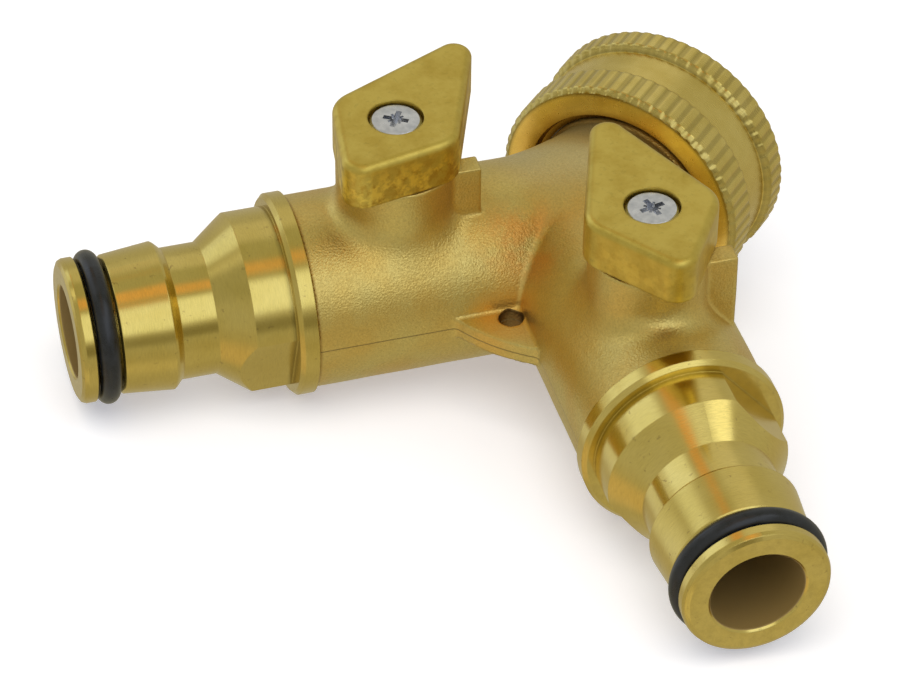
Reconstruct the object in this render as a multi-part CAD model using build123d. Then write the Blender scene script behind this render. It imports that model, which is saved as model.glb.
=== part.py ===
from build123d import *
import os
from math import cos, pi, radians, sin

# Two-way brass hose splitter with a swivel inlet nut and a ball valve in each leg.
# Millimetres. The origin is the centre of the inlet washer's sealing face, +Y runs out of
# the inlet, +Z runs up through the valve levers and +X points to the right-hand leg.

# ---- driving dimensions ----------------------------------------------------------------
JUNCTION_Y = -15.2          # where the inlet axis and the two leg axes meet
LEG_ANGLE = 45.0            # each leg, measured from -Y
LEG_R = 11.4
LEG_END = 35.5              # stations along a leg are measured from the junction
BOSS_STATION = 23.16        # stem axis
BOSS_R = 7.0
BOSS_TOP = 17.1

NECK_R = 10.4               # inlet neck behind the nut
LAND_R = 10.8               # bearing land that the nut turns on
LAND_BACK = -5.5
TAIL_END = -2.2             # end face of the inlet neck, where the washer sits
INLET_BORE_R = 7.0
WASHER_R, WASHER_HOLE_R = 12.3, 7.5
PASSAGE_R = 5.5
RING_GROOVE = (-4.35, -3.25)
RING_GROOVE_R = 9.5
SNAP_RING_R = 11.9
SNAP_RING_GAP = 2.4

THREAD_MINOR_R = 12.06      # 3/4 inch parallel pipe thread, minor diameter 24.12
NUT_BACK = -6.3
NUT_MOUTH = 7.5
NUT_R = 15.65
NUT_FLANGE = 1.9
NUT_HOLE_R = 10.9
NUT_HOLE_CHAMFER = 1.2
NUT_RECESS_R = 12.5         # washer recess behind the thread
NUT_WAIST = (-1.2, 3.65)    # plain band between the two knurled bands
NUT_WAIST_R = 14.75
KNURL_TEETH = 60
KNURL_DEPTH = 0.25
KNURL_BEVEL = 0.6
NUT_MOUTH_CHAMFER = 1.1

CHAMBER = (15.9, 30.42)     # ball chamber, stations along the leg
CHAMBER_R = 9.0
SOCKET_R = 9.6              # threaded socket for the outlet nozzle
BALL_R = 8.0
BALL_BORE_R = 4.8
SEAT_R = 8.95
SEAT_BORE_R = 5.2
SEAT_GAP = 0.05             # between ball and seat
SEAT_REACH = 4.66           # from the ball's centre to the seat's near face

STEM_R = 3.5
STEM_HOLE_R = 3.55
STEM_FLANGE_R = 4.55
STEM_FLANGE = (8.2, 9.9)
POCKET_R = 4.65
POCKET_TOP = 10.7
STEM_SQUARE = 4.6
SQUARE_CORNER_R = 2.95
BLADE_REACH = 3.6
STEM_SHOULDER = 17.3        # the square starts here, just under the lever
STEM_TOP = 20.6
SLOT_WIDTH = 2.6
SLOT_FLOOR = 5.4
STEM_RING_Z = (12.1, 14.1)
STEM_RING_SECTION_R = 0.65
STEM_GROOVE_HALF = 0.75

LEVER_BOTTOM = 17.45
LEVER_TOP = 23.2
LEVER_SEAT = 21.4           # floor of the counterbore
LEVER_EDGE = 1.0            # rounding of the top edge
COUNTERBORE_R = 3.25
SCREW_HEAD_R = 3.0
SCREW_HEAD_TOP = 22.95
SCREW_R = 1.45
SCREW_END = 15.1
CROSS = (1.5, 0.33, 1.0)    # cross recess: reach, half width and depth
CROSS_TICK = (1.0, 0.16, 0.4)
CROSS_TURN = 12.0
LEVER_TIP, LEVER_REAR = 20.0, -12.2               # corners of the lozenge before rounding
LEVER_SIDE = (-0.4, 8.3)
REST_ARM_ANGLE = {"left": 91.5, "right": 137.0}   # long arm in the stored pose, from +X

COLLAR_R = 12.0
COLLAR_END = 37.7
COLLAR_BEVEL = 0.5
BASE_R = 10.6
BASE_END = 42.5
NOZZLE_NECK = (46.3, 50.5)
NOZZLE_NECK_R = 7.8
HEAD = (51.55, 57.7)
HEAD_REAR_R = 8.77
HEAD_FRONT_R = 8.2
HOSE_GROOVE_R = 6.6
TIP = (60.65, 62.6)
TIP_R = 8.54
TIP_EDGE = 0.7              # the front edge is broken over this length
NOZZLE_BORE_R = 5.42
BALL_RELIEF_R, BALL_RELIEF_END = 5.7, 33.0        # widened where a closed ball bulges in
TAIL_R = 9.55
FLAT_DISTANCE = 9.3         # wrench flats, from the nozzle's axis
FLAT_TURN = {"left": 70.0, "right": -50.0}        # flat's normal, turned from straight up
HOSE_RING_SECTION_R = 1.25
HOSE_RING_OUTER_R = 9.1

LUG_REACH = 9.1             # stop lugs on the boss
LUG_NEAR, LUG_FAR = 1.72, 4.3
TAB = (7.4, 9.2)            # lever's stop tab, inner and outer radius
TAB_HALF_WIDTH = 1.3
TAB_DROP = 2.0

WEB_HALF_THICKNESS = 1.3
WEB_HOLE_R = 1.4
WEB_HOLE_REACH = 18.2       # from the junction, on the bisector of the legs
WEB_EDGE_R = 22.2

SIDES = {"left": -1, "right": 1}


# ---- helpers ---------------------------------------------------------------------------
def leg_plane(side):
    """Local z runs out along the leg from the junction, and local x points up."""
    s = SIDES[side]
    out = (s * sin(radians(LEG_ANGLE)), -cos(radians(LEG_ANGLE)), 0)
    return Plane(origin=(0, JUNCTION_Y, 0), x_dir=(0, 0, 1), z_dir=out)


def inlet_plane():
    """Local z runs out of the inlet along +Y, with the row's origin."""
    return Plane(origin=(0, 0, 0), x_dir=(0, 0, 1), z_dir=(0, 1, 0))


def stem_xy(side):
    """Where a stem axis stands in plan."""
    s = SIDES[side]
    x = s * BOSS_STATION * sin(radians(LEG_ANGLE))
    y = JUNCTION_Y - BOSS_STATION * cos(radians(LEG_ANGLE))
    return x, y


def at_stem(side, shape, turn=0.0):
    """Move a shape that is built about the z axis to a stem axis, turned about z."""
    x, y = stem_xy(side)
    return Pos(x, y, 0) * Rot(0, 0, turn) * shape


def turned(points):
    """A solid of revolution about z from a closed outline of (radius, height) points."""
    outline = Polyline([(r, 0, h) for r, h in points], close=True)
    return revolve(make_face(outline), Axis.Z, 360)


def rod(radius, low, high):
    """A cylinder about z between two heights."""
    return Pos(0, 0, low) * Cylinder(radius, high - low, align=(Align.CENTER, Align.CENTER, Align.MIN))


def tube(outer, inner, low, high):
    return rod(outer, low, high) - rod(inner, low - 1, high + 1)


def block(x0, x1, y0, y1, z0, z1):
    size = (x1 - x0, y1 - y0, z1 - z0)
    return Pos((x0 + x1) / 2, (y0 + y1) / 2, (z0 + z1) / 2) * Box(*size)


def ring(section_r, centre_r, height):
    """An O-ring about z."""
    return Pos(0, 0, height) * Torus(centre_r, section_r)


def save(shape, node):
    shape.label = node
    export_step(shape, f"parts/{node}.step")


# ---- valve body ------------------------------------------------------------------------
def stop_lugs():
    """The two lugs beside a boss that the lever's tab swings between, built about z."""
    lug = Rot(0, 0, 45) * block(0, LUG_REACH, -LUG_FAR, -LUG_NEAR, 0, BOSS_TOP)
    return lug + mirror(lug, about=Plane.YZ)


def web():
    """The flat web in the crotch of the legs, before its hole is drilled."""
    disc = extrude(Circle(WEB_EDGE_R), WEB_HALF_THICKNESS, both=True)
    wedge = extrude(make_face(Polyline((0, 0), (-30, -30), (30, -30), close=True)), 5, both=True)
    return Pos(0, JUNCTION_Y, 0) * (disc & wedge)


def body_outside():
    outside = inlet_plane() * rod(NECK_R, JUNCTION_Y, TAIL_END)
    outside += Pos(0, JUNCTION_Y, 0) * Sphere(LEG_R)
    for side in SIDES:
        outside += leg_plane(side) * rod(LEG_R, 0, LEG_END)
        outside += at_stem(side, rod(BOSS_R, 0, BOSS_TOP))
        outside += at_stem(side, stop_lugs())
    outside += inlet_plane() * rod(LAND_R, LAND_BACK, TAIL_END)
    return outside + web()


def leg_cavity():
    """Everything bored into one leg from its outlet end, along z from the junction."""
    return rod(PASSAGE_R, 0, LEG_END) + rod(CHAMBER_R, *CHAMBER) + rod(SOCKET_R, CHAMBER[1], LEG_END + 1)


def valve_body():
    body = body_outside()
    body -= inlet_plane() * rod(INLET_BORE_R, JUNCTION_Y, TAIL_END + 1)
    body -= Pos(0, JUNCTION_Y, 0) * Sphere(INLET_BORE_R)
    body -= inlet_plane() * (tube(LAND_R + 1, RING_GROOVE_R, *RING_GROOVE))
    for side in SIDES:
        body -= leg_plane(side) * leg_cavity()
        body -= at_stem(side, rod(STEM_HOLE_R, 0, BOSS_TOP + 1) + rod(POCKET_R, 0, POCKET_TOP))
    body -= Pos(0, JUNCTION_Y - WEB_HOLE_REACH, 0) * rod(WEB_HOLE_R, -5, 5)
    return body


# ---- inlet -----------------------------------------------------------------------------
def knurled_band(low, high):
    """A band with straight knurling, its ends bevelled."""
    points = []
    groove_r = NUT_R - KNURL_DEPTH
    for tooth in range(KNURL_TEETH):
        for step, radius in ((0.0, NUT_R), (0.36, NUT_R), (0.5, groove_r), (0.86, groove_r)):
            angle = 2 * pi * (tooth + step) / KNURL_TEETH
            points.append((radius * cos(angle), radius * sin(angle)))
    teeth = Pos(0, 0, low) * extrude(make_face(Polyline(points, close=True)), high - low)
    bevel, over = KNURL_BEVEL, NUT_R + 0.01
    envelope = turned([(0, low), (NUT_R - bevel, low), (over, low + bevel),
                       (over, high - bevel), (NUT_R - bevel, high), (0, high)])
    return teeth & envelope


def swivel_nut():
    nut = knurled_band(NUT_BACK, NUT_WAIST[0]) + knurled_band(NUT_WAIST[1], NUT_MOUTH)
    nut += rod(NUT_WAIST_R, NUT_WAIST[0], NUT_WAIST[1])
    hole = turned([(0, NUT_BACK - 1), (NUT_HOLE_R + NUT_HOLE_CHAMFER + 1, NUT_BACK - 1),
                   (NUT_HOLE_R, NUT_BACK + NUT_HOLE_CHAMFER), (NUT_HOLE_R, NUT_BACK + NUT_FLANGE),
                   (NUT_RECESS_R, NUT_BACK + NUT_FLANGE), (NUT_RECESS_R, 0), (THREAD_MINOR_R, 0),
                   (THREAD_MINOR_R, NUT_MOUTH - NUT_MOUTH_CHAMFER),
                   (THREAD_MINOR_R + NUT_MOUTH_CHAMFER, NUT_MOUTH),
                   (THREAD_MINOR_R + NUT_MOUTH_CHAMFER, NUT_MOUTH + 1), (0, NUT_MOUTH + 1)])
    return inlet_plane() * (nut - hole)


def nut_snap_ring():
    """Split wire ring in the neck groove that keeps the nut on."""
    band = tube(SNAP_RING_R, RING_GROOVE_R + 0.05, RING_GROOVE[0] + 0.02, RING_GROOVE[1] - 0.02)
    gap = block(0, NUT_R, -SNAP_RING_GAP / 2, SNAP_RING_GAP / 2, -10, 10)
    return inlet_plane() * (band - gap)


def inlet_washer():
    return inlet_plane() * tube(WASHER_R, WASHER_HOLE_R, TAIL_END, 0)


# ---- outlet nozzles --------------------------------------------------------------------
def outlet_nozzle(side):
    """Threaded tail, collar, base with two flats, neck, hose-connector head and tip ring."""
    outline = [
        (BALL_RELIEF_R, CHAMBER[1]), (TAIL_R - 0.5, CHAMBER[1]), (TAIL_R, CHAMBER[1] + 0.5),
        (TAIL_R, LEG_END), (COLLAR_R, LEG_END), (COLLAR_R, COLLAR_END - COLLAR_BEVEL),
        (COLLAR_R - COLLAR_BEVEL, COLLAR_END), (BASE_R, COLLAR_END), (BASE_R, BASE_END),
        (NOZZLE_NECK_R, NOZZLE_NECK[0]), (NOZZLE_NECK_R, NOZZLE_NECK[1]),
        (HEAD_REAR_R - 0.2, HEAD[0] - 0.3), (HEAD_REAR_R, HEAD[0]),
        (HEAD_FRONT_R, HEAD[1] - 0.25), (HEAD_FRONT_R - 0.25, HEAD[1]),
        (HOSE_GROOVE_R, HEAD[1]), (HOSE_GROOVE_R, TIP[0]), (TIP_R - 0.2, TIP[0]),
        (TIP_R, TIP[0] + 0.2), (TIP_R, TIP[1] - TIP_EDGE), (TIP_R - 0.2, TIP[1] - 0.25),
        (TIP_R - TIP_EDGE, TIP[1]), (NOZZLE_BORE_R + 0.3, TIP[1]), (NOZZLE_BORE_R, TIP[1] - 0.3),
        (NOZZLE_BORE_R, BALL_RELIEF_END), (BALL_RELIEF_R, BALL_RELIEF_END),
    ]
    nozzle = turned(outline)
    flats = block(FLAT_DISTANCE, 15, -15, 15, COLLAR_END, NOZZLE_NECK[0])
    flats += Rot(0, 0, 180) * flats
    return leg_plane(side) * (nozzle - Rot(0, 0, FLAT_TURN[side]) * flats)


def nozzle_o_ring(side):
    centre_r = HOSE_RING_OUTER_R - HOSE_RING_SECTION_R
    return leg_plane(side) * ring(HOSE_RING_SECTION_R - 0.02, centre_r, (HEAD[1] + TIP[0]) / 2)


# ---- valves ----------------------------------------------------------------------------
def seat(side, downstream):
    """One seat, a ring with a spherical face towards the ball."""
    low, high = CHAMBER[0], BOSS_STATION - SEAT_REACH
    blank = tube(SEAT_R, SEAT_BORE_R, low, high)
    blank -= Pos(0, 0, BOSS_STATION) * Sphere(BALL_R + SEAT_GAP)
    if downstream:
        blank = mirror(blank, about=Plane(origin=(0, 0, BOSS_STATION), z_dir=(0, 0, 1)))
    return leg_plane(side) * blank


def valve_ball(side):
    """Built open, with its bore along the long arm, then turned with the lever."""
    bore = Rot(0, 90, 0) * Cylinder(BALL_BORE_R, 4 * BALL_R)
    slot = block(-SLOT_WIDTH / 2, SLOT_WIDTH / 2, -BALL_R, BALL_R, SLOT_FLOOR, BALL_R + 1)
    return at_stem(side, Sphere(BALL_R) - bore - slot, REST_ARM_ANGLE[side])


def stem(side):
    """Blade, blow-out-proof flange, shank with two ring grooves, and a square for the lever."""
    thick = SLOT_WIDTH / 2 - 0.05
    blade = block(-thick, thick, -BLADE_REACH, BLADE_REACH, SLOT_FLOOR + 0.1, STEM_FLANGE[0] + 0.2)
    shape = (blade & rod(STEM_FLANGE_R, 0, STEM_TOP)) + rod(STEM_FLANGE_R, *STEM_FLANGE)
    shape += rod(STEM_R, STEM_FLANGE[1], STEM_SHOULDER)
    half = STEM_SQUARE / 2
    square = block(-half, half, -half, half, STEM_SHOULDER - 0.1, STEM_TOP)
    shape += square & rod(SQUARE_CORNER_R, 0, STEM_TOP)
    floor_r = STEM_R - 2 * STEM_RING_SECTION_R
    for height in STEM_RING_Z:
        shape -= tube(STEM_R + 1, floor_r, height - STEM_GROOVE_HALF, height + STEM_GROOVE_HALF)
    shape -= rod(SCREW_R + 0.03, SCREW_END - 0.2, STEM_TOP + 1)
    return at_stem(side, shape, REST_ARM_ANGLE[side])


def stem_o_ring(side, height):
    centre_r = STEM_R - STEM_RING_SECTION_R
    return at_stem(side, ring(STEM_RING_SECTION_R - 0.01, centre_r, height))


def stem_thrust_washer(side):
    return at_stem(side, tube(STEM_FLANGE_R, STEM_R + 0.05, STEM_FLANGE[1], POCKET_TOP - 0.03))


def lever_outline():
    """Lozenge plan of the lever, long arm along +x, as corner points with their radii."""
    along, out = LEVER_SIDE
    corners = [((LEVER_TIP, 0), 2.1), ((along, out), 3.8), ((LEVER_REAR, 0), 2.4), ((along, -out), 3.8)]
    face = make_face(Polyline([point for point, _ in corners], close=True))
    for (x, y), radius in corners:
        corner = face.vertices().sort_by_distance((x, y, 0))[0]
        face = fillet(corner, radius)
    return face


def lever(side):
    plan = lever_outline()
    shape = Pos(0, 0, LEVER_BOTTOM) * extrude(plan, LEVER_TOP - LEVER_BOTTOM)
    shape = fillet(shape.edges().group_by(Axis.Z)[-1], LEVER_EDGE)
    shape += block(TAB[0], TAB[1], -TAB_HALF_WIDTH, TAB_HALF_WIDTH, LEVER_BOTTOM - TAB_DROP, LEVER_BOTTOM + 1)
    half = STEM_SQUARE / 2 + 0.05
    shape -= block(-half, half, -half, half, LEVER_BOTTOM - 1, STEM_TOP + 0.1)
    shape -= rod(SCREW_R + 0.2, LEVER_BOTTOM, LEVER_TOP + 1)
    shape -= rod(COUNTERBORE_R, LEVER_SEAT, LEVER_TOP + 1)
    return at_stem(side, shape, REST_ARM_ANGLE[side])


def lever_screw(side):
    """Machine screw with a slightly domed head and a cross recess."""
    top = SCREW_HEAD_TOP
    head = turned([(0, LEVER_SEAT), (SCREW_HEAD_R, LEVER_SEAT), (SCREW_HEAD_R, top - 0.35),
                   (SCREW_HEAD_R - 0.25, top - 0.1), (SCREW_R, top), (0, top)])
    for (reach, half, deep), turn in ((CROSS, CROSS_TURN), (CROSS_TICK, CROSS_TURN + 45)):
        slot = block(-reach, reach, -half, half, top - deep, top + 1)
        head -= Rot(0, 0, turn) * slot + Rot(0, 0, turn + 90) * slot
    return at_stem(side, head + rod(SCREW_R, SCREW_END, LEVER_SEAT), REST_ARM_ANGLE[side])


# ---- export ----------------------------------------------------------------------------
os.makedirs("parts", exist_ok=True)
save(valve_body(), "valve_body")
save(swivel_nut(), "swivel_nut")
save(nut_snap_ring(), "nut_snap_ring")
save(inlet_washer(), "inlet_washer")
for name in SIDES:
    save(outlet_nozzle(name), f"{name}_outlet_nozzle")
    save(nozzle_o_ring(name), f"{name}_nozzle_o_ring")
    save(seat(name, False), f"{name}_upstream_seat")
    save(seat(name, True), f"{name}_downstream_seat")
    save(valve_ball(name), f"{name}_valve_ball")
    save(stem(name), f"{name}_stem")
    save(stem_o_ring(name, STEM_RING_Z[0]), f"{name}_stem_o_ring_lower")
    save(stem_o_ring(name, STEM_RING_Z[1]), f"{name}_stem_o_ring_upper")
    save(stem_thrust_washer(name), f"{name}_stem_thrust_washer")
    save(lever(name), f"{name}_lever")
    save(lever_screw(name), f"{name}_lever_screw")
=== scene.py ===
from math import cos, pi, radians, sin

import bpy
import numpy as np
from mathutils import Matrix, Vector, noise


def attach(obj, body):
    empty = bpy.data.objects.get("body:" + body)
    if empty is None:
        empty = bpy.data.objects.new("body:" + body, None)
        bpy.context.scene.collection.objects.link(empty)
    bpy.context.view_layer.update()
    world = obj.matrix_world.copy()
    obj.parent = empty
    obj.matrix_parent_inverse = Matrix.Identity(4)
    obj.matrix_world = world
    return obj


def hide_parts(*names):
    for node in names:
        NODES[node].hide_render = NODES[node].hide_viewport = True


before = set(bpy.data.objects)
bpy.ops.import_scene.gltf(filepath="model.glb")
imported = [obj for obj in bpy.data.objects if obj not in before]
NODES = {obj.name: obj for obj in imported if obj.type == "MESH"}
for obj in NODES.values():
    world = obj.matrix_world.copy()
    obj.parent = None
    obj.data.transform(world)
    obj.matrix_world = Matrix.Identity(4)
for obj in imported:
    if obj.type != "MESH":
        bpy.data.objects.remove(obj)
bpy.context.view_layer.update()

# A two-way brass hose splitter on a pale floor. Lengths named in millimetres are turned into
# metres by MM. The frame's origin is the inlet washer's sealing face, +Y out of the inlet.
MM = 0.001

# ---- sizes shared with the CAD parts, in millimetres -----------------------------------
JUNCTION = np.array([0.0, -15.2, 0.0])
LEG_R = 11.4
LEG_END = 35.5
COLLAR_END = 37.7
NOZZLE_END = 62.6
LEVER_BOTTOM = 17.45
LEVER_TOP = 23.2
NECK_R = 10.4
BOSS_STATION = 23.16
BOSS_R = 7.0
BOSS_TOP = 17.1
STEM_HOLE_R = 3.55
LUG_SIDES = (1.72, 4.3)     # a stop lug's faces, from the plane through the stem
LUG_REACH = 9.1
WEB_HALF = 1.3
WEB_REACH = 22.2            # from the junction to the web's rounded edge
HANG_HOLE = JUNCTION + np.array([0, -18.2, 0])
HANG_HOLE_R = 1.4
TURNED_FROM = -5.6          # the neck is turned, not forged, from here to the inlet
BORED_R = 9.8               # everything bored in the body lies nearer than this to an axis
NUT_R = 15.65
NUT_FACE = -6.3
NUT_MOUTH = 7.5
NUT_HOLE_R = 10.9
WASHER_R = 12.5
THREAD_MINOR_R = 12.06
DIAGONAL = cos(radians(45))
LEG_DIRECTION = {"left": np.array([-DIAGONAL, -DIAGONAL, 0.0]),
                 "right": np.array([DIAGONAL, -DIAGONAL, 0.0])}


# ---- camera ----------------------------------------------------------------------------
# Angles in degrees, then lengths in millimetres. Azimuth 0 looks along +Y, at the outlets.
CAMERA_AZIMUTH = 28.374
CAMERA_ELEVATION = 40.589
CAMERA_ROLL = 0.683
CAMERA_DISTANCE = 461.9
CAMERA_TARGET = Vector((-3.7, -41.39, 2.73))
CAMERA_LENS = 161.1


def make_camera():
    """A long lens that looks down on the outlets, rolled a little."""
    azimuth, elevation, roll = (radians(a) for a in (CAMERA_AZIMUTH, CAMERA_ELEVATION, CAMERA_ROLL))
    back = Vector((sin(azimuth) * cos(elevation), -cos(azimuth) * cos(elevation), sin(elevation)))
    right = Vector((cos(azimuth), sin(azimuth), 0))
    up = back.cross(right)
    rolled_right = right * cos(roll) + up * sin(roll)
    rolled_up = -right * sin(roll) + up * cos(roll)
    data = bpy.data.cameras.new("camera")
    data.sensor_width = 36.0
    data.lens = CAMERA_LENS
    camera = bpy.data.objects.new("camera", data)
    bpy.context.scene.collection.objects.link(camera)
    turn = Matrix((rolled_right, rolled_up, back)).transposed().to_4x4()
    camera.matrix_world = Matrix.Translation((CAMERA_TARGET + back * CAMERA_DISTANCE) * MM) @ turn
    bpy.context.scene.camera = camera


# ---- material helpers ------------------------------------------------------------------
MIX_FACTOR, MIX_A, MIX_B = 0, 6, 7          # colour sockets of a mix node
MIX_RESULT = 2


class Shader:
    """A node material with short ways to add and join nodes. Lengths are in millimetres."""

    def __init__(self, name, roughness, metallic):
        self.material = bpy.data.materials.new(name)
        self.material.use_nodes = True
        self.tree = self.material.node_tree
        self.surface = self.tree.nodes["Principled BSDF"]
        self.surface.inputs["Roughness"].default_value = roughness
        self.surface.inputs["Metallic"].default_value = metallic
        place = self.add("ShaderNodeTexCoord")
        scale = self.add("ShaderNodeVectorMath")
        scale.operation = "SCALE"
        scale.inputs["Scale"].default_value = 1 / MM
        self.join(place.outputs["Object"], scale.inputs[0])
        self.place = scale.outputs["Vector"]

    def add(self, kind):
        """A new node of a kind."""
        return self.tree.nodes.new(kind)

    def join(self, source, socket):
        self.tree.links.new(source, socket)

    def stretched(self, along, factor):
        """The place, with lengths along one direction multiplied by a factor."""
        axis = Vector(along).normalized()
        dot = self.add("ShaderNodeVectorMath")
        dot.operation = "DOT_PRODUCT"
        dot.inputs[1].default_value = axis
        self.join(self.place, dot.inputs[0])
        push = self.add("ShaderNodeVectorMath")
        push.operation = "SCALE"
        push.inputs[0].default_value = axis * (factor - 1)
        self.join(dot.outputs["Value"], push.inputs["Scale"])
        total = self.add("ShaderNodeVectorMath")
        total.operation = "ADD"
        self.join(self.place, total.inputs[0])
        self.join(push.outputs["Vector"], total.inputs[1])
        return total.outputs["Vector"]

    def noise(self, size, detail=2.0, roughness=0.5, place=None):
        """Noise from 0 to 1 whose blobs are about size across."""
        node = self.add("ShaderNodeTexNoise")
        node.inputs["Scale"].default_value = 1 / size
        node.inputs["Detail"].default_value = detail
        node.inputs["Roughness"].default_value = roughness
        self.join(place or self.place, node.inputs["Vector"])
        return node.outputs["Fac"]

    def cells(self, size):
        """Distance to scattered points that are about size apart."""
        node = self.add("ShaderNodeTexVoronoi")
        node.inputs["Scale"].default_value = 1 / size
        self.join(self.place, node.inputs["Vector"])
        return node.outputs["Distance"]

    def ramp(self, value, stops):
        """Colours or greys by value: stops are (value, colour)."""
        node = self.add("ShaderNodeValToRGB")
        ramp = node.color_ramp
        while len(ramp.elements) < len(stops):
            ramp.elements.new(0.5)
        for element, (position, colour) in zip(ramp.elements, stops):
            element.position = position
            element.color = (*colour, 1) if hasattr(colour, "__len__") else (colour, colour, colour, 1)
        self.join(value, node.inputs["Fac"])
        return node.outputs["Color"]

    def mix(self, factor, first, second, blend="MIX"):
        """The first colour blended with the second by a factor. Each may be a value or a socket."""
        node = self.add("ShaderNodeMix")
        node.data_type = "RGBA"
        node.blend_type = blend
        inputs = (node.inputs[MIX_FACTOR], node.inputs[MIX_A], node.inputs[MIX_B])
        for value, socket in zip((factor, first, second), inputs):
            if isinstance(value, bpy.types.NodeSocket):
                self.join(value, socket)
            elif hasattr(value, "__len__"):
                socket.default_value = (*value, 1)
            else:
                socket.default_value = value
        return node.outputs[MIX_RESULT]

    def bump(self, height, depth, below=None):
        """Adds relief of a depth in millimetres, over any earlier relief."""
        node = self.add("ShaderNodeBump")
        node.inputs["Strength"].default_value = 1.0
        node.inputs["Distance"].default_value = depth * MM
        self.join(height, node.inputs["Height"])
        if below is not None:
            self.join(below, node.inputs["Normal"])
        return node.outputs["Normal"]

    def rounded_edges(self, radius):
        """Shading that softens sharp edges to a radius in millimetres."""
        node = self.add("ShaderNodeBevel")
        node.samples = 4
        node.inputs["Radius"].default_value = radius * MM
        return node.outputs["Normal"]

    def times(self, first, second):
        """The product of two values."""
        node = self.add("ShaderNodeMath")
        node.operation = "MULTIPLY"
        self.join(first, node.inputs[0])
        self.join(second, node.inputs[1])
        return node.outputs["Value"]

    def nearness(self, centre, inner, outer):
        """1 within the inner distance of a point, falling to 0 at the outer one."""
        node = self.add("ShaderNodeVectorMath")
        node.operation = "DISTANCE"
        self.join(self.place, node.inputs[0])
        node.inputs[1].default_value = centre
        fall = self.add("ShaderNodeMapRange")
        fall.interpolation_type = "SMOOTHSTEP"
        fall.inputs["From Min"].default_value = inner
        fall.inputs["From Max"].default_value = outer
        fall.inputs["To Min"].default_value = 1
        fall.inputs["To Max"].default_value = 0
        self.join(node.outputs["Value"], fall.inputs["Value"])
        return fall.outputs["Result"]

    def leg_station(self):
        """Distance along the nearer leg from the junction, as a share of NOZZLE_END."""
        offset = self.add("ShaderNodeVectorMath")
        offset.operation = "SUBTRACT"
        self.join(self.place, offset.inputs[0])
        offset.inputs[1].default_value = JUNCTION
        longest = self.add("ShaderNodeMath")
        longest.operation = "MAXIMUM"
        for way, socket in zip(LEG_DIRECTION.values(), longest.inputs):
            dot = self.add("ShaderNodeVectorMath")
            dot.operation = "DOT_PRODUCT"
            dot.inputs[1].default_value = way / NOZZLE_END
            self.join(offset.outputs["Vector"], dot.inputs[0])
            self.join(dot.outputs["Value"], socket)
        return longest.outputs["Value"]

    def height_share(self, low, high):
        """0 at a low height in millimetres, rising to 1 at a high one."""
        split = self.add("ShaderNodeSeparateXYZ")
        self.join(self.place, split.inputs[0])
        share = self.add("ShaderNodeMapRange")
        share.inputs["From Min"].default_value = low
        share.inputs["From Max"].default_value = high
        self.join(split.outputs["Z"], share.inputs["Value"])
        return share.outputs["Result"]

    def height_ramp(self, stops):
        """Greys by height in millimetres, within a millimetre of the body's middle plane."""
        return self.ramp(self.height_share(-1, 1), [((z + 1) / 2, grey) for z, grey in stops])

    def reach(self, axis, centre):
        """Distance in millimetres from an axis through a centre."""
        offset = self.add("ShaderNodeVectorMath")
        offset.operation = "SUBTRACT"
        self.join(self.place, offset.inputs[0])
        offset.inputs[1].default_value = centre
        across = self.add("ShaderNodeVectorMath")
        across.operation = "CROSS_PRODUCT"
        self.join(offset.outputs["Vector"], across.inputs[0])
        across.inputs[1].default_value = Vector(axis).normalized()
        length = self.add("ShaderNodeVectorMath")
        length.operation = "LENGTH"
        self.join(across.outputs["Vector"], length.inputs[0])
        return length.outputs["Value"]

    def inside_bore(self, axis, centre, radius):
        """1 nearer to an axis than a radius in millimetres, else 0."""
        test = self.add("ShaderNodeMath")
        test.operation = "LESS_THAN"
        self.join(self.reach(axis, centre), test.inputs[0])
        test.inputs[1].default_value = radius
        return test.outputs["Value"]

    def reach_ramp(self, axis, centre, longest, stops):
        """Greys by distance in millimetres from an axis, up to the longest one."""
        share = self.add("ShaderNodeMapRange")
        share.inputs["From Max"].default_value = longest
        self.join(self.reach(axis, centre), share.inputs["Value"])
        return self.ramp(share.outputs["Result"], [(r / longest, grey) for r, grey in stops])

    def finish(self, colour, roughness, normal):
        """Joins the three sockets to the surface and gives the material."""
        for value, name in ((colour, "Base Color"), (roughness, "Roughness"), (normal, "Normal")):
            self.join(value, self.surface.inputs[name])
        return self.material


# ---- materials -------------------------------------------------------------------------
# Stained places of the forging: centre, then the distances between which the stain fades.
HEAT_TINT = (JUNCTION + np.array([-1.0, -12.9, 8.5]), 1.5, 7.5)
DULL_NECK = (JUNCTION + np.array([-4.0, 2.0, 10.0]), 5.0, 11.0)
WEB_TINT = (JUNCTION + np.array([0, -18.5, 1.4]), 2.0, 5.5)


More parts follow.
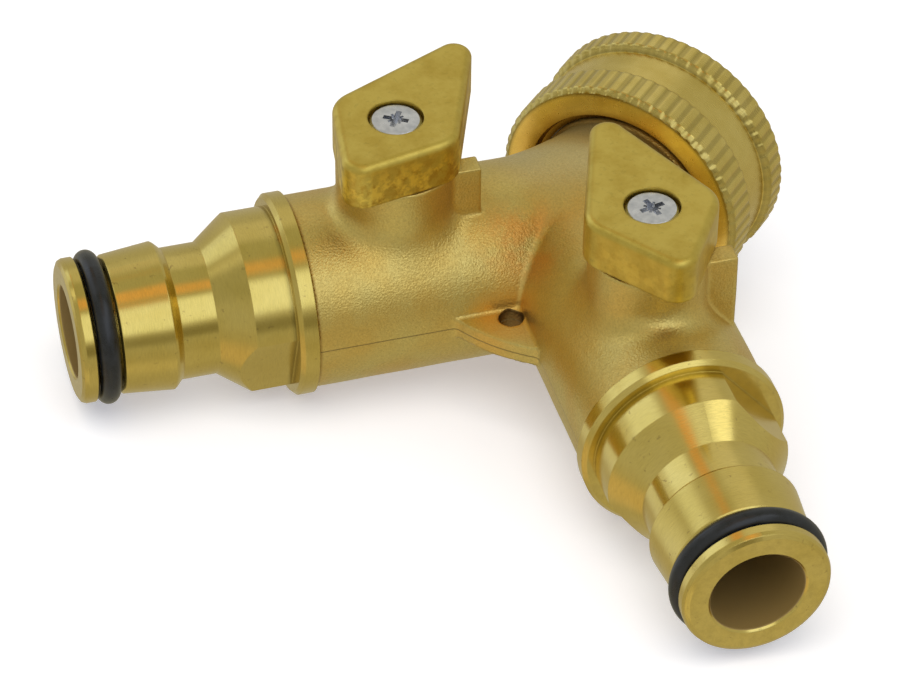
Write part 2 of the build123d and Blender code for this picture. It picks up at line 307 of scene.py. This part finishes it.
def forged_brass():
    """Shot-blasted forging: fine pits, warmer patches, a parting line, a tarnished seam, a painted-shade
    hang hole.
    """
    shader = Shader("forged_brass", 0.36, 0.9)
    patches = shader.noise(7.0, 3.0)
    grain = shader.noise(0.26, 3.0, 0.65)
    colour = shader.ramp(patches, [(0.36, (0.73, 0.58, 0.19)), (0.64, (0.74, 0.52, 0.14))])
    near = shader.nearness(*HEAT_TINT)
    flames = shader.ramp(shader.noise(3.2, 4.0, 0.6), [(0.37, 0.0), (0.58, 0.85)])
    colour = shader.mix(shader.times(near, flames), colour, (0.80, 0.42, 0.10))
    neck = shader.nearness(*DULL_NECK)
    shader.join(shader.mix(neck, (0.9, 0.9, 0.9), (0.7, 0.7, 0.7)), shader.surface.inputs["Metallic"])
    dull = shader.times(neck, shader.ramp(patches, [(0.2, 0.7), (0.5, 1.0)]))
    colour = shader.mix(dull, colour, (0.61, 0.49, 0.205))
    colour = shader.mix(0.6, colour, shader.ramp(grain, [(0.3, 0.66), (0.68, 1.0)]), "MULTIPLY")
    web = shader.nearness(*WEB_TINT)
    colour = shader.mix(shader.times(web, patches), colour, (0.90, 0.50, 0.10))
    # Painted shade: the hang hole's walls are drawn dark brown.
    hole = shader.inside_bore((0, 0, 1), HANG_HOLE, HANG_HOLE_R + 0.1)
    colour = shader.mix(hole, colour, (0.22, 0.13, 0.04))
    station = shader.leg_station()
    seam = shader.ramp(station, [(place / NOZZLE_END, grey) for place, grey in
                                 ((LEG_END - 0.45, 0.0), (LEG_END - 0.2, 1.0))])
    colour = shader.mix(seam, colour, (0.36, 0.22, 0.06))
    height = shader.height_ramp([(-0.16, 0.0), (-0.05, 0.6), (0.01, 0.6), (0.06, 0.0)])
    colour = shader.mix(height, colour, (0.38, 0.25, 0.08))
    roughness = shader.ramp(grain, [(0.3, 0.42), (0.7, 0.27)])
    relief = shader.bump(shader.noise(2.6, 2.0), 0.03)
    relief = shader.bump(shader.height_ramp([(-0.12, 0.0), (0.04, 1.0)]), 0.10, relief)
    relief = shader.bump(shader.cells(0.25), 0.026, relief)
    relief = shader.bump(grain, 0.035, relief)
    return shader.finish(colour, roughness, relief)


def cast_brass(name, stain_and_highlight):
    """Matte casting of a lever, with rusty stains and painted highlight spots of a given strength low on
    its sides.
    """
    shader = Shader(name, 0.4, 1.0)
    cloud = shader.noise(3.2, 4.0, 0.65)
    colour = shader.ramp(cloud, [(0.34, (0.62, 0.455, 0.085)), (0.60, (0.70, 0.54, 0.12))])
    marks = shader.ramp(shader.noise(0.7, 4.0, 0.7), [(0.32, 0.72), (0.44, 1.0)])
    colour = shader.mix(0.4, colour, marks, "MULTIPLY")
    low = shader.ramp(shader.height_share(LEVER_BOTTOM, LEVER_TOP), [(0.5, stain_and_highlight), (0.97, 0.0)])
    rust = shader.ramp(shader.noise(1.3, 4.0, 0.7), [(0.46, 0.0), (0.60, 0.9)])
    colour = shader.mix(shader.times(low, rust), colour, (0.56, 0.36, 0.06))
    # Painted highlight: bright gold spots, like the rust, strongest low on the sides.
    painted_highlight = shader.ramp(shader.noise(1.8, 3.0, 0.6), [(0.47, 0.0), (0.60, 1.0)])
    colour = shader.mix(shader.times(low, painted_highlight), colour, (0.97, 0.74, 0.15))
    roughness = shader.ramp(cloud, [(0.3, 0.44), (0.7, 0.33)])
    relief = shader.rounded_edges(0.35)
    relief = shader.bump(shader.noise(1.6, 2.0), 0.02, relief)
    relief = shader.bump(shader.noise(0.22, 2.0), 0.006, relief)
    return shader.finish(colour, roughness, relief)


def turned_brass(name, axis, colours, centre=(0, 0, 0), bore=0.0):
    """Lathe-turned brass: very fine rings round the axis; a duller bore of a given radius, painted dark
    as shade; tarnish and painted shade just past the collar.
    """
    shader = Shader(name, 0.15, 1.0)
    rings = shader.noise(1.0, 3.0, 0.7, shader.stretched(axis, 14.0))
    tarnish = shader.noise(5.0, 3.0)
    spots = shader.ramp(shader.noise(0.9, 4.0, 0.7), [(0.30, 1.0), (0.36, 0.0)])
    colour = shader.ramp(tarnish, [(0.35, colours[0]), (0.65, colours[1])])
    colour = shader.mix(shader.times(spots, tarnish), colour, (0.34, 0.24, 0.08))
    colour = shader.mix(1.0, colour, shader.ramp(rings, [(0.32, 0.88), (0.62, 1.0)]), "MULTIPLY")
    rough = shader.ramp(rings, [(0.3, 0.21), (0.7, 0.12)])
    if bore:
        # Darker just past the collar's end: tarnish and painted shade in the corner.
        corner_shade_and_tarnish = shader.ramp(shader.leg_station(), [
            ((COLLAR_END + past) / NOZZLE_END, grey) for past, grey in
            ((0, 1.0), (0.06, 0.5), (0.3, 0.7), (0.7, 1.0))])
        colour = shader.mix(1.0, colour, corner_shade_and_tarnish, "MULTIPLY")
        # Painted shade: the bore is drawn dark brown. Its rougher, less metallic finish is the bore's
        # own.
        inside = shader.inside_bore(axis, centre, bore)
        colour = shader.mix(inside, colour, (0.30, 0.20, 0.065))
        rough = shader.mix(inside, rough, (0.6, 0.6, 0.6))
        shader.join(shader.mix(inside, (1, 1, 1), (0.25, 0.25, 0.25)), shader.surface.inputs["Metallic"])
    relief = shader.bump(rings, 0.004, shader.rounded_edges(0.15))
    return shader.finish(colour, rough, relief)


def nut_brass():
    """Knurled and turned brass: grooves and steps darker as tarnish and painted shade, a painted shadow
    round the neck, a painted highlight on the face.
    """
    shader = Shader("nut_brass", 0.24, 1.0)
    rings = shader.noise(1.0, 3.0, 0.7, shader.stretched((0, 1, 0), 10.0))
    tarnish = shader.noise(3.0, 4.0, 0.6)
    colour = shader.ramp(tarnish, [(0.35, (0.70, 0.54, 0.15)), (0.65, (0.78, 0.62, 0.20))])
    # By radius: a painted shadow round the neck, a painted highlight across the face, darker knurl
    # grooves and steps as tarnish and painted shade.
    shade_highlight_and_tarnish = shader.reach_ramp((0, 1, 0), (0, 0, 0), NUT_R + 0.35, [
        (11.0, (0.20, 0.14, 0.09)), (11.8, (0.62, 0.48, 0.34)), (12.8, (1.12, 1.02, 0.88)),
        (14.5, (1.24, 1.2, 1.1)), (14.8, 0.92), (14.88, 0.62), (15.25, 0.82),
        (NUT_R - KNURL_DEPTH + 0.02, 0.72), (NUT_R - 0.02, 1.0)])
    colour = shader.mix(1.0, colour, shade_highlight_and_tarnish, "MULTIPLY")
    rough = shader.ramp(rings, [(0.3, 0.30), (0.7, 0.20)])
    return shader.finish(colour, rough, shader.bump(rings, 0.006))


def zinc_steel():
    """Bright zinc plate with a faint bloom."""
    shader = Shader("zinc_steel", 0.3, 1.0)
    bloom = shader.noise(0.8, 3.0)
    colour = shader.ramp(bloom, [(0.3, (0.56, 0.58, 0.63)), (0.7, (0.72, 0.73, 0.76))])
    roughness = shader.ramp(bloom, [(0.3, 0.38), (0.7, 0.26)])
    return shader.finish(colour, roughness, shader.bump(shader.noise(0.3, 2.0), 0.006))


def spring_steel():
    """Plain dark wire."""
    shader = Shader("spring_steel", 0.35, 1.0)
    marks = shader.noise(0.6, 3.0)
    colour = shader.ramp(marks, [(0.3, (0.32, 0.32, 0.33)), (0.7, (0.5, 0.5, 0.5))])
    roughness = shader.ramp(marks, [(0.3, 0.45), (0.7, 0.3)])
    return shader.finish(colour, roughness, shader.bump(marks, 0.006))


def plated_ball():
    """Polished plate with faint wear."""
    shader = Shader("plated_ball", 0.1, 1.0)
    marks = shader.noise(1.5, 3.0)
    colour = shader.ramp(marks, [(0.3, (0.72, 0.73, 0.75)), (0.7, (0.8, 0.8, 0.81))])
    roughness = shader.ramp(marks, [(0.3, 0.16), (0.7, 0.08)])
    return shader.finish(colour, roughness, shader.bump(marks, 0.001))


def black_rubber():
    """Moulded rubber with a faint bloom."""
    shader = Shader("black_rubber", 0.3, 0.0)
    bloom = shader.noise(1.6, 3.0)
    colour = shader.ramp(bloom, [(0.35, (0.006, 0.007, 0.009)), (0.7, (0.014, 0.016, 0.021))])
    roughness = shader.ramp(bloom, [(0.3, 0.24), (0.7, 0.38)])
    return shader.finish(colour, roughness, shader.bump(shader.noise(0.3, 2.0), 0.004))


def seat_plastic():
    """White machined plastic."""
    shader = Shader("seat_plastic", 0.4, 0.0)
    marks = shader.noise(0.8, 2.0)
    colour = shader.ramp(marks, [(0.3, (0.78, 0.78, 0.75)), (0.7, (0.85, 0.85, 0.83))])
    roughness = shader.ramp(marks, [(0.3, 0.5), (0.7, 0.35)])
    return shader.finish(colour, roughness, shader.bump(marks, 0.004))


# ---- mesh helpers ----------------------------------------------------------------------
def new_piece(name, vertices, faces, body, material, replaced):
    """A smooth-shaded mesh from points in millimetres, riding on a body."""
    mesh = bpy.data.meshes.new(name)
    mesh.from_pydata((np.asarray(vertices) * MM).tolist(), [], faces)
    return finish_piece(mesh, body, material, replaced)


def finish_piece(mesh, body, material, replaced):
    """Puts a mesh in the scene, in place of a CAD node."""
    mesh.materials.clear()
    mesh.materials.append(material)
    mesh.update()
    piece = bpy.data.objects.new(mesh.name, mesh)
    bpy.context.scene.collection.objects.link(piece)
    mesh.shade_smooth()
    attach(piece, body)
    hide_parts(replaced)
    return piece


def paint(node, material):
    """Gives a CAD node its material."""
    mesh = NODES[node].data
    mesh.materials.clear()
    mesh.materials.append(material)
    mesh.shade_smooth()
    mesh.set_sharp_from_angle(angle=radians(25))


# ---- valve body ------------------------------------------------------------------------
def soft_union(a, b, blend):
    """Distance to two solids joined with a fillet of about the blend's size."""
    share = np.clip(0.5 + 0.5 * (b - a) / blend, 0, 1)
    return b + (a - b) * share - blend * share * (1 - share)


def distance_to_pipe(points, start, direction, radius):
    """Distance to a pipe that starts with a round end and runs on without end."""
    offset = points - start
    along = np.maximum(offset @ direction, 0)
    return np.linalg.norm(offset - along[:, None] * direction, axis=1) - radius


def distance_to_post(points, centre, radius, top, edge):
    """Distance to an upright cylinder from z = 0, with its top edge rounded."""
    out = np.hypot(points[:, 0] - centre[0], points[:, 1] - centre[1]) - radius + edge
    over = np.maximum(points[:, 2] - top, -points[:, 2]) + edge
    corner = np.hypot(np.maximum(out, 0), np.maximum(over, 0))
    return np.minimum(np.maximum(out, over), 0) + corner - edge


def distance_to_block(points, low, high, edge):
    """Distance to a box with rounded edges."""
    centre, half = (low + high) / 2, (high - low) / 2 - edge
    reach = np.abs(points - centre) - half
    outside = np.linalg.norm(np.maximum(reach, 0), axis=1)
    return outside + np.minimum(reach.max(axis=1), 0) - edge


def body_distance(points):
    """Signed distance, roughly, to the forging's outside."""
    shape = distance_to_pipe(points, JUNCTION, np.array([0.0, 1.0, 0.0]), NECK_R)
    shape = soft_union(shape, np.linalg.norm(points - JUNCTION, axis=1) - LEG_R, 4.0)
    legs = [distance_to_pipe(points, JUNCTION, way, LEG_R) for way in LEG_DIRECTION.values()]
    shape = soft_union(shape, soft_union(legs[0], legs[1], 0.7), 2.2)
    for way in LEG_DIRECTION.values():
        stem = JUNCTION + BOSS_STATION * way
        local = points - stem
        post = distance_to_post(local, (0, 0), BOSS_R, BOSS_TOP, 0.3)
        lugs = np.full(len(points), 99.0)
        for mirror in (1, -1):
            u = (mirror * local[:, 0] + local[:, 1]) * DIAGONAL
            w = (mirror * local[:, 0] - local[:, 1]) * DIAGONAL
            turned = np.stack([u, w, local[:, 2]], axis=1)
            low = np.array([0, LUG_SIDES[0], -1.0])
            high = np.array([LUG_REACH, LUG_SIDES[1], BOSS_TOP])
            lug = distance_to_block(turned, low, high, 0.25)
            lugs = np.minimum(lugs, lug)
        shape = soft_union(soft_union(shape, post, 2.6), lugs, 0.35)
        hole = STEM_HOLE_R - np.hypot(local[:, 0], local[:, 1])
        shape = np.where(points[:, 2] > 0, np.maximum(shape, hole), shape)
    flat = np.abs(points[:, 2]) - WEB_HALF
    reach = np.linalg.norm((points - JUNCTION)[:, :2], axis=1) - WEB_REACH
    behind = points[:, 1] - JUNCTION[1] + 8
    web = np.maximum(np.maximum(flat, reach), behind)
    shape = soft_union(shape, web, 0.5)
    hang = HANG_HOLE_R - np.hypot(points[:, 0], points[:, 1] - HANG_HOLE[1])
    return np.maximum(shape, hang)


def slope(field, points, step=0.02):
    """Gradient of a distance field by central differences."""
    result = np.zeros_like(points)
    for axis in range(3):
        shift = np.zeros(3)
        shift[axis] = step
        result[:, axis] = (field(points + shift) - field(points - shift)) / (2 * step)
    return result


def remeshed(node, name, voxel):
    """An even, fine copy of a CAD node's mesh."""
    copy = bpy.data.objects.new(name, NODES[node].data.copy())
    bpy.context.scene.collection.objects.link(copy)
    modifier = copy.modifiers.new("even", "REMESH")
    modifier.mode = "VOXEL"
    modifier.voxel_size = voxel * MM
    graph = bpy.context.evaluated_depsgraph_get()
    mesh = bpy.data.meshes.new_from_object(copy.evaluated_get(graph))
    bpy.data.objects.remove(copy)
    mesh.name = name
    return mesh


def get_points(mesh):
    """A mesh's points in millimetres."""
    points = np.zeros(len(mesh.vertices) * 3)
    mesh.vertices.foreach_get("co", points)
    return points.reshape(-1, 3) / MM


def set_points(mesh, points):
    """Moves a mesh's points to places in millimetres."""
    mesh.vertices.foreach_set("co", (points * MM).ravel())
    mesh.update()


def forged_body(material):
    """The CAD body's mesh, drawn onto a surface with forged fillets."""
    mesh = remeshed("valve_body", "forged_body", 0.28)
    points = get_points(mesh)
    outside = points[:, 1] < TURNED_FROM
    offset = points - JUNCTION
    for way in [np.array([0.0, 1.0, 0.0]), *LEG_DIRECTION.values()]:
        along = np.maximum(offset @ way, 0)
        outside &= np.linalg.norm(offset - along[:, None] * way, axis=1) > BORED_R
    for way in LEG_DIRECTION.values():
        stem = offset - BOSS_STATION * way
        outside &= np.hypot(stem[:, 0], stem[:, 1]) > STEM_HOLE_R + 0.1
        outside &= offset @ way < LEG_END - 0.3
    skin = points[outside]
    for _ in range(5):
        gradient = slope(body_distance, skin)
        length2 = np.maximum((gradient ** 2).sum(axis=1), 0.2)
        skin -= gradient * (body_distance(skin) / length2)[:, None]
    gradient = slope(body_distance, skin)
    gradient /= np.maximum(np.linalg.norm(gradient, axis=1), 1e-6)[:, None]
    swell = np.array([noise.noise(Vector(p) / 5.0) for p in skin])
    points[outside] = skin + gradient * (0.05 * swell)[:, None]
    set_points(mesh, points)
    return finish_piece(mesh, "housing", material, "valve_body")


# ---- swivel nut ------------------------------------------------------------------------
NUT_TEETH = 60
KNURL_DEPTH = 0.11          # shallower than the CAD's, as worn knurls look
KNURL_BANDS = ((NUT_FACE, -1.2), (3.65, NUT_MOUTH))
BAND_ROWS = 26
WAIST_ROWS = 12
WAIST_R = 14.74
THREAD_DEPTH = 1.1
THREAD_PITCH = 1.814
THREAD_ROWS = 12            # per turn of the thread
MOUTH_CHAMFER = 1.1


def tooth_height(turn):
    """Knurl profile from 0 in the groove to 1 on the crest, for a turn counted in teeth."""
    phase = np.abs((turn % 1.0) - 0.5) * 2
    return smooth_step(phase, 0.12, 0.72)


def smooth_step(value, low, high):
    """0 up to the low value, rising smoothly to 1 at the high one."""
    t = np.clip((value - low) / (high - low), 0, 1)
    return t * t * (3 - 2 * t)


def nut_outline():
    """(radius, y, knurl, thread) along the nut's section, from the hole, out, and back inside."""
    rows = [(NUT_HOLE_R, -4.4, 0, 0), (NUT_HOLE_R, -5.0, 0, 0), (11.6, -5.2, 0, 0), (11.95, -6.2, 0, 0),
            (12.1, NUT_FACE, 0, 0), (13.4, NUT_FACE, 0, 0), (14.85, NUT_FACE, 0, 0), (15.02, -6.26, 0, 0)]
    for low, high in KNURL_BANDS:
        for y in np.linspace(low + 0.1, high - 0.02, BAND_ROWS):
            bevel = 0.55 * (1 - smooth_step(y, low, low + 0.7)) + 0.45 * smooth_step(y, high - 0.6, high)
            rows.append((NUT_R - bevel, y, 1, 0))
        if low == NUT_FACE:
            waist = np.linspace(high + 0.1, KNURL_BANDS[1][0] - 0.1, WAIST_ROWS)
            rows += [(WAIST_R, y, 0, 0) for y in waist]
    rows += [(radius, NUT_MOUTH, 0, 0) for radius in (14.6, 13.8, 13.25)]
    for y in np.arange(NUT_MOUTH - 0.1, 0.0, -THREAD_PITCH / THREAD_ROWS):
        chamfer = max(0.0, y - (NUT_MOUTH - MOUTH_CHAMFER))
        rows.append((THREAD_MINOR_R + chamfer, y, 0, 1))
    rows += [(WASHER_R, y, 0, 0) for y in (-0.05, -2.0, -4.35)]
    rows.append((WASHER_R - 0.1, -4.4, 0, 0))
    return rows


def knurled_nut(material):
    """The nut as rings of points along its outline, with its knurls and inlet thread."""
    rows = nut_outline()
    count = NUT_TEETH * 20          # points round each ring
    turn = np.arange(count) / count
    angle = 2 * pi * turn
    grid = []
    for radius, y, knurl, thread in rows:
        ring = np.full(count, radius)
        if knurl:
            ring = ring - KNURL_DEPTH * (1 - tooth_height(turn * NUT_TEETH))
        if thread:
            phase = np.abs(((y / THREAD_PITCH - turn) % 1.0) - 0.5) * 2
            ring = np.maximum(ring, THREAD_MINOR_R + THREAD_DEPTH * np.clip((phase - 0.15) / 0.7, 0, 1))
        grid.append(np.stack([ring * np.sin(angle), np.full(count, y), ring * np.cos(angle)], axis=1))
    vertices = np.concatenate(grid)
    faces = []
    total = len(rows)
    for i in range(total):
        a, b = i * count, ((i + 1) % total) * count
        for j in range(count):
            k = (j + 1) % count
            faces.append((a + j, a + k, b + k, b + j))
    piece = new_piece("knurled_nut", vertices, faces, "inlet_nut", material, "swivel_nut")
    piece.data.set_sharp_from_angle(angle=radians(35))
    return piece


# ---- stage -----------------------------------------------------------------------------
COLLAR_TOUCH = Vector((0, -41.9, -12.0))
FLOOR_SIZE = 4000
FLOOR_GAP = 0.15


def make_floor():
    """A wide pale floor that the nut's rim and the two collars rest on."""
    nut_touch = Vector((0, -5.7, -NUT_R))
    along = (nut_touch - COLLAR_TOUCH).normalized()
    normal = Vector((1, 0, 0)).cross(along)
    centre = (nut_touch + COLLAR_TOUCH) / 2 - normal * FLOOR_GAP
    corners = [centre + (Vector((x, 0, 0)) + along * y) * FLOOR_SIZE
               for x, y in ((-1, -1), (1, -1), (1, 1), (-1, 1))]
    mesh = bpy.data.meshes.new("floor")
    mesh.from_pydata([tuple(c * MM) for c in corners], [], [(0, 1, 2, 3)])
    floor = bpy.data.objects.new("floor", mesh)
    bpy.context.scene.collection.objects.link(floor)
    material = bpy.data.materials.new("floor_paper")
    material.use_nodes = True
    surface = material.node_tree.nodes["Principled BSDF"]
    surface.inputs["Base Color"].default_value = (0.93, 0.93, 0.93, 1)
    surface.inputs["Roughness"].default_value = 0.9
    surface.inputs["Specular IOR Level"].default_value = 0.1
    surface.inputs["Emission Color"].default_value = (0.80, 0.82, 1.0, 1)
    surface.inputs["Emission Strength"].default_value = 0.34
    mesh.materials.append(material)
    floor.visible_glossy = False


def toward(azimuth, elevation):
    """Direction to a place round the object, given as a camera's would be: 0 is the outlet side."""
    a, e = radians(azimuth), radians(elevation)
    return Vector((sin(a) * cos(e), -cos(a) * cos(e), sin(e)))


# Patches of the studio that the brass mirrors: azimuth, elevation, half-width and soft rim in
# degrees, then colour. Later ones lie over earlier ones.
SURROUNDING = (0.51, 0.50, 0.42)
PATCHES = ((0, -90, 78, 16, (0.49, 0.45, 0.32)),
           (0, 90, 34, 9, (0.46, 0.45, 0.33)),
           (-40, 30, 16, 7, (0.43, 0.425, 0.34)),
           (-66, 46, 9, 5, (1.10, 1.10, 1.05)),
           (-157, 42, 17, 6, (0.67, 0.655, 0.59)),
           (-120, 48, 6, 3, (0.78, 0.42, 0.17)),
           (-112, 64, 6, 3, (0.66, 0.38, 0.16)),
           (60, 79, 9, 4, (0.95, 0.55, 0.25)),
           (23, 62, 6, 3, (0.84, 0.42, 0.14)),
           (56, 42, 20, 5, (1.12, 1.20, 1.32)),
           (44, 30, 12, 5, (1.12, 1.20, 1.32)),
           (30, 44, 8, 4, (1.06, 1.10, 1.12)),
           (100, 50, 11, 4, (1.40, 1.46, 1.55)),
           (-92, -8, 19, 8, (0.74, 0.76, 0.76)),
           (-97, 26, 15, 5, (0.94, 1.02, 1.16)),
           (50, 4, 9, 4, (0.25, 0.23, 0.15)),
           (60, -48, 14, 8, (0.54, 0.50, 0.37)),
           (24, -42, 14, 8, (0.70, 0.63, 0.45)),
           (-28, -40, 16, 8, (0.68, 0.55, 0.36)))


def make_world():
    """A studio of soft patches, which lights the metal."""
    world = bpy.data.worlds.new("studio")
    bpy.context.scene.world = world
    world.use_nodes = True
    tree = world.node_tree
    place = tree.nodes.new("ShaderNodeTexCoord")
    below = None
    for azimuth, elevation, width, rim, colour in PATCHES:
        dot = tree.nodes.new("ShaderNodeVectorMath")
        dot.operation = "DOT_PRODUCT"
        dot.inputs[1].default_value = toward(azimuth, elevation)
        tree.links.new(place.outputs["Generated"], dot.inputs[0])
        inside = tree.nodes.new("ShaderNodeMapRange")
        inside.interpolation_type = "SMOOTHSTEP"
        inside.inputs["From Min"].default_value = cos(radians(width + rim))
        inside.inputs["From Max"].default_value = cos(radians(max(width - rim, 0)))
        tree.links.new(dot.outputs["Value"], inside.inputs["Value"])
        layer = tree.nodes.new("ShaderNodeMix")
        layer.data_type = "RGBA"
        layer.inputs[MIX_A].default_value = (*SURROUNDING, 1)
        layer.inputs[MIX_B].default_value = (*colour, 1)
        tree.links.new(inside.outputs["Result"], layer.inputs[MIX_FACTOR])
        if below is not None:
            tree.links.new(below, layer.inputs[MIX_A])
        below = layer.outputs[MIX_RESULT]
    background = tree.nodes["Background"]
    background.inputs["Strength"].default_value = 1.0
    tree.links.new(below, background.inputs["Color"])


def make_light():
    """A soft square panel, high on the outlet side, that lights the floor and what isn't metal."""
    data = bpy.data.lights.new("key", "AREA")
    data.shape = "RECTANGLE"
    data.size, data.size_y = 0.6, 0.6
    data.energy = 2.4
    lamp = bpy.data.objects.new("key", data)
    bpy.context.scene.collection.objects.link(lamp)
    back = toward(15, 68)
    lamp.location = Vector((0, -30, 0)) * MM + back * 0.7
    lamp.rotation_mode = "QUATERNION"
    lamp.rotation_quaternion = back.to_track_quat("Z", "Y")
    lamp.visible_glossy = False


# ---- build -----------------------------------------------------------------------------
# Strength of the rusty stains and of the painted highlight spots low on each lever.
STAIN_AND_HIGHLIGHT = {"left": 1.0, "right": 0.3}
BRIGHT = ((0.74, 0.57, 0.155), (0.79, 0.62, 0.19))
# The left nozzle's brass is a painted-shade copy of the right's: one metal, drawn darker.
TURNED_LEFT_SHADED = {"left": ((0.69, 0.53, 0.14), (0.735, 0.575, 0.17)), "right": BRIGHT}
NOZZLE_BORE_R = 5.5

make_camera()
rubber = black_rubber()
plastic = seat_plastic()
zinc = zinc_steel()

forged_body(forged_brass())
knurled_nut(nut_brass())
paint("nut_snap_ring", spring_steel())
paint("inlet_washer", rubber)
for side, way in LEG_DIRECTION.items():
    nozzle = turned_brass(f"{side}_turned_brass", way, TURNED_LEFT_SHADED[side], JUNCTION, NOZZLE_BORE_R)
    paint(f"{side}_outlet_nozzle", nozzle)
    for seat in ("upstream_seat", "downstream_seat", "stem_thrust_washer"):
        paint(f"{side}_{seat}", plastic)
    for ring in ("nozzle_o_ring", "stem_o_ring_lower", "stem_o_ring_upper"):
        paint(f"{side}_{ring}", rubber)
    paint(f"{side}_valve_ball", plated_ball())
    paint(f"{side}_stem", turned_brass(f"{side}_stem_brass", (0, 0, 1), BRIGHT))
    paint(f"{side}_lever", cast_brass(f"{side}_cast_brass", STAIN_AND_HIGHLIGHT[side]))
    paint(f"{side}_lever_screw", zinc)

make_floor()
make_world()
make_light()
bpy.context.scene.view_settings.view_transform = "Standard"
